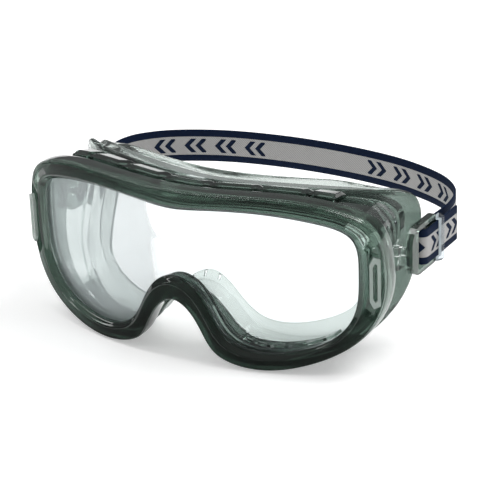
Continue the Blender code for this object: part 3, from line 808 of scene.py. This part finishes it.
def headband():
    """Woven band with soft selvedges; its uv runs along and across in mm."""
    line = strap_line()
    n = len(line)
    profile = [(-0.5, 0.30), (-0.47, 0.5), (-0.25, 0.5), (0.0, 0.5), (0.25, 0.5), (0.47, 0.5),
               (0.5, 0.30), (0.5, -0.30), (0.47, -0.5), (0.25, -0.5), (0.0, -0.5), (-0.25, -0.5),
               (-0.47, -0.5), (-0.5, -0.30)]
    k = len(profile)
    length = [0.0]
    for a, b in zip(line, line[1:]):
        length.append(length[-1] + math.dist(a, b))
    verts, faces, uvs = [], [], []
    for i, (x, y) in enumerate(line):
        a, b = line[max(i - 1, 0)], line[min(i + 1, n - 1)]
        d = Vector((b[0] - a[0], b[1] - a[1])).normalized()
        for across, thick in profile:
            verts.append((x - d.y * thick * STRAP_THICK, y + d.x * thick * STRAP_THICK,
                          strap_height(y) + across * STRAP_WIDTH))
            uvs.append((length[i] - length[-1] / 2, across * STRAP_WIDTH))
    for i in range(n - 1):
        for a in range(k):
            b = (a + 1) % k
            faces.append((i * k + a, i * k + b, (i + 1) * k + b, (i + 1) * k + a))
    faces += [tuple(range(k)), tuple((n - 1) * k + a for a in range(k))]
    obj = finish_mesh("headband_fine", verts, faces, WEBBING, "headband", 60.0)
    layer = obj.data.uv_layers.new(name="band")
    for loop in obj.data.loops:
        layer.data[loop.index].uv = uvs[loop.vertex_index]


# ---- CAD nodes that are kept ---------------------------------------------------------------
def keep(node, mat, bevel=0.0):
    """A CAD node whose shape is already right, with a fine finish on its edges."""
    obj = frame["nodes"][node]
    obj.data.materials.clear()
    obj.data.materials.append(mat)
    if bevel:
        mod = obj.modifiers.new("edges", "BEVEL")
        mod.width = bevel * MM
        mod.segments = 3
        mod.limit_method = "ANGLE"
        mod.angle_limit = math.radians(40)
        mod.harden_normals = True


def kept_nodes():
    keep("lens_gasket", SMOKE_SOFT)
    for tag in ("left", "right"):
        keep("clip_mount_" + tag, SMOKE_SOFT, 0.4)
        keep("strap_clip_" + tag, SMOKE_CLIP, 0.8)
        keep("fold_bar_" + tag, STEEL, 0.2)
        keep("pivot_pin_" + tag, SMOKE_DARK, 0.2)
        keep("strap_keeper_" + tag, CLEAR_PLASTIC, 0.3)
        # the latch gets the lighter tint painted as its highlight
        keep("lens_latch_" + tag, LATCH_PAINTED_HIGHLIGHT, 0.35)


# ---- surroundings -----------------------------------------------------------------------------
def floor():
    mesh = bpy.data.meshes.new("floor")
    size = 6.0
    mesh.from_pydata([(-size, -size, 0), (size, -size, 0), (size, size, 0), (-size, size, 0)], [],
                     [(0, 1, 2, 3)])
    mat, nodes, links, bsdf = new_material("floor")
    bsdf.inputs["Base Color"].default_value = (0.93, 0.93, 0.93, 1.0)
    bsdf.inputs["Emission Color"].default_value = (1.0, 1.0, 1.0, 1.0)
    bsdf.inputs["Emission Strength"].default_value = 0.36
    links.new(spread(nodes, links, noise(nodes, links, 3.0), 0.75, 0.85), bsdf.inputs["Roughness"])
    mesh.materials.append(mat)
    obj = bpy.data.objects.new("floor", mesh)
    scene.collection.objects.link(obj)


def area_light(name, where, target, size, power):
    data = bpy.data.lights.new(name, "AREA")
    data.shape = "RECTANGLE"
    data.size, data.size_y = size
    data.energy = power
    obj = bpy.data.objects.new(name, data)
    obj.location = where
    obj.rotation_euler = (Vector(target) - Vector(where)).to_track_quat("-Z", "Y").to_euler()
    scene.collection.objects.link(obj)


def world():
    w = bpy.data.worlds.new("studio")
    scene.world = w
    w.use_nodes = True
    nodes, links = w.node_tree.nodes, w.node_tree.links
    background = nodes["Background"]
    where = nodes.new("ShaderNodeTexCoord")
    split = nodes.new("ShaderNodeSeparateXYZ")
    links.new(where.outputs["Generated"], split.inputs[0])
    ramp = nodes.new("ShaderNodeValToRGB")
    ramp.color_ramp.elements[0].position = 0.45
    ramp.color_ramp.elements[0].color = (0.11, 0.115, 0.12, 1.0)
    ramp.color_ramp.elements[1].position = 0.95
    ramp.color_ramp.elements[1].color = (0.52, 0.52, 0.52, 1.0)
    height = math_node(nodes, links, "MULTIPLY_ADD", split.outputs["Z"], 0.5, 0.5)
    links.new(height, ramp.inputs["Fac"])
    links.new(ramp.outputs["Color"], background.inputs["Color"])
    background.inputs["Strength"].default_value = 1.0


def lights():
    area_light("top_box", (0.55, 0.40, 1.05), (0, 0, 0.03), (0.8, 0.6), 9.5)
    area_light("brow_strip", (-0.60, -0.12, 1.05), (0, -0.04, 0.06), (0.14, 1.3), 4.0)
    area_light("left_strip", (-0.9, -0.7, 0.7), (0, -0.04, 0.05), (0.06, 1.0), 1.6)


def camera():
    data = bpy.data.cameras.new("camera")
    data.lens = FOCAL_LENGTH
    data.sensor_width = 36.0
    obj = bpy.data.objects.new("camera", data)
    back = (EYE - AIM).normalized()
    right = Vector((0, 0, 1)).cross(back).normalized()
    up = back.cross(right)
    turned = right * math.cos(ROLL) + up * math.sin(ROLL)
    axes = Matrix((turned, back.cross(turned), back)).transposed().to_4x4()
    axes.translation = EYE
    obj.matrix_world = axes
    scene.collection.objects.link(obj)
    scene.camera = obj


def main():
    lens()
    front_frame()
    face_body()
    face_seal()
    vent_covers()
    for side, tag in ((1, "left"), (-1, "right")):
        cheek_baffle(side, tag)
    headband()
    kept_nodes()
    floor()
    world()
    lights()
    camera()
    scene.view_settings.view_transform = "Standard"


main()
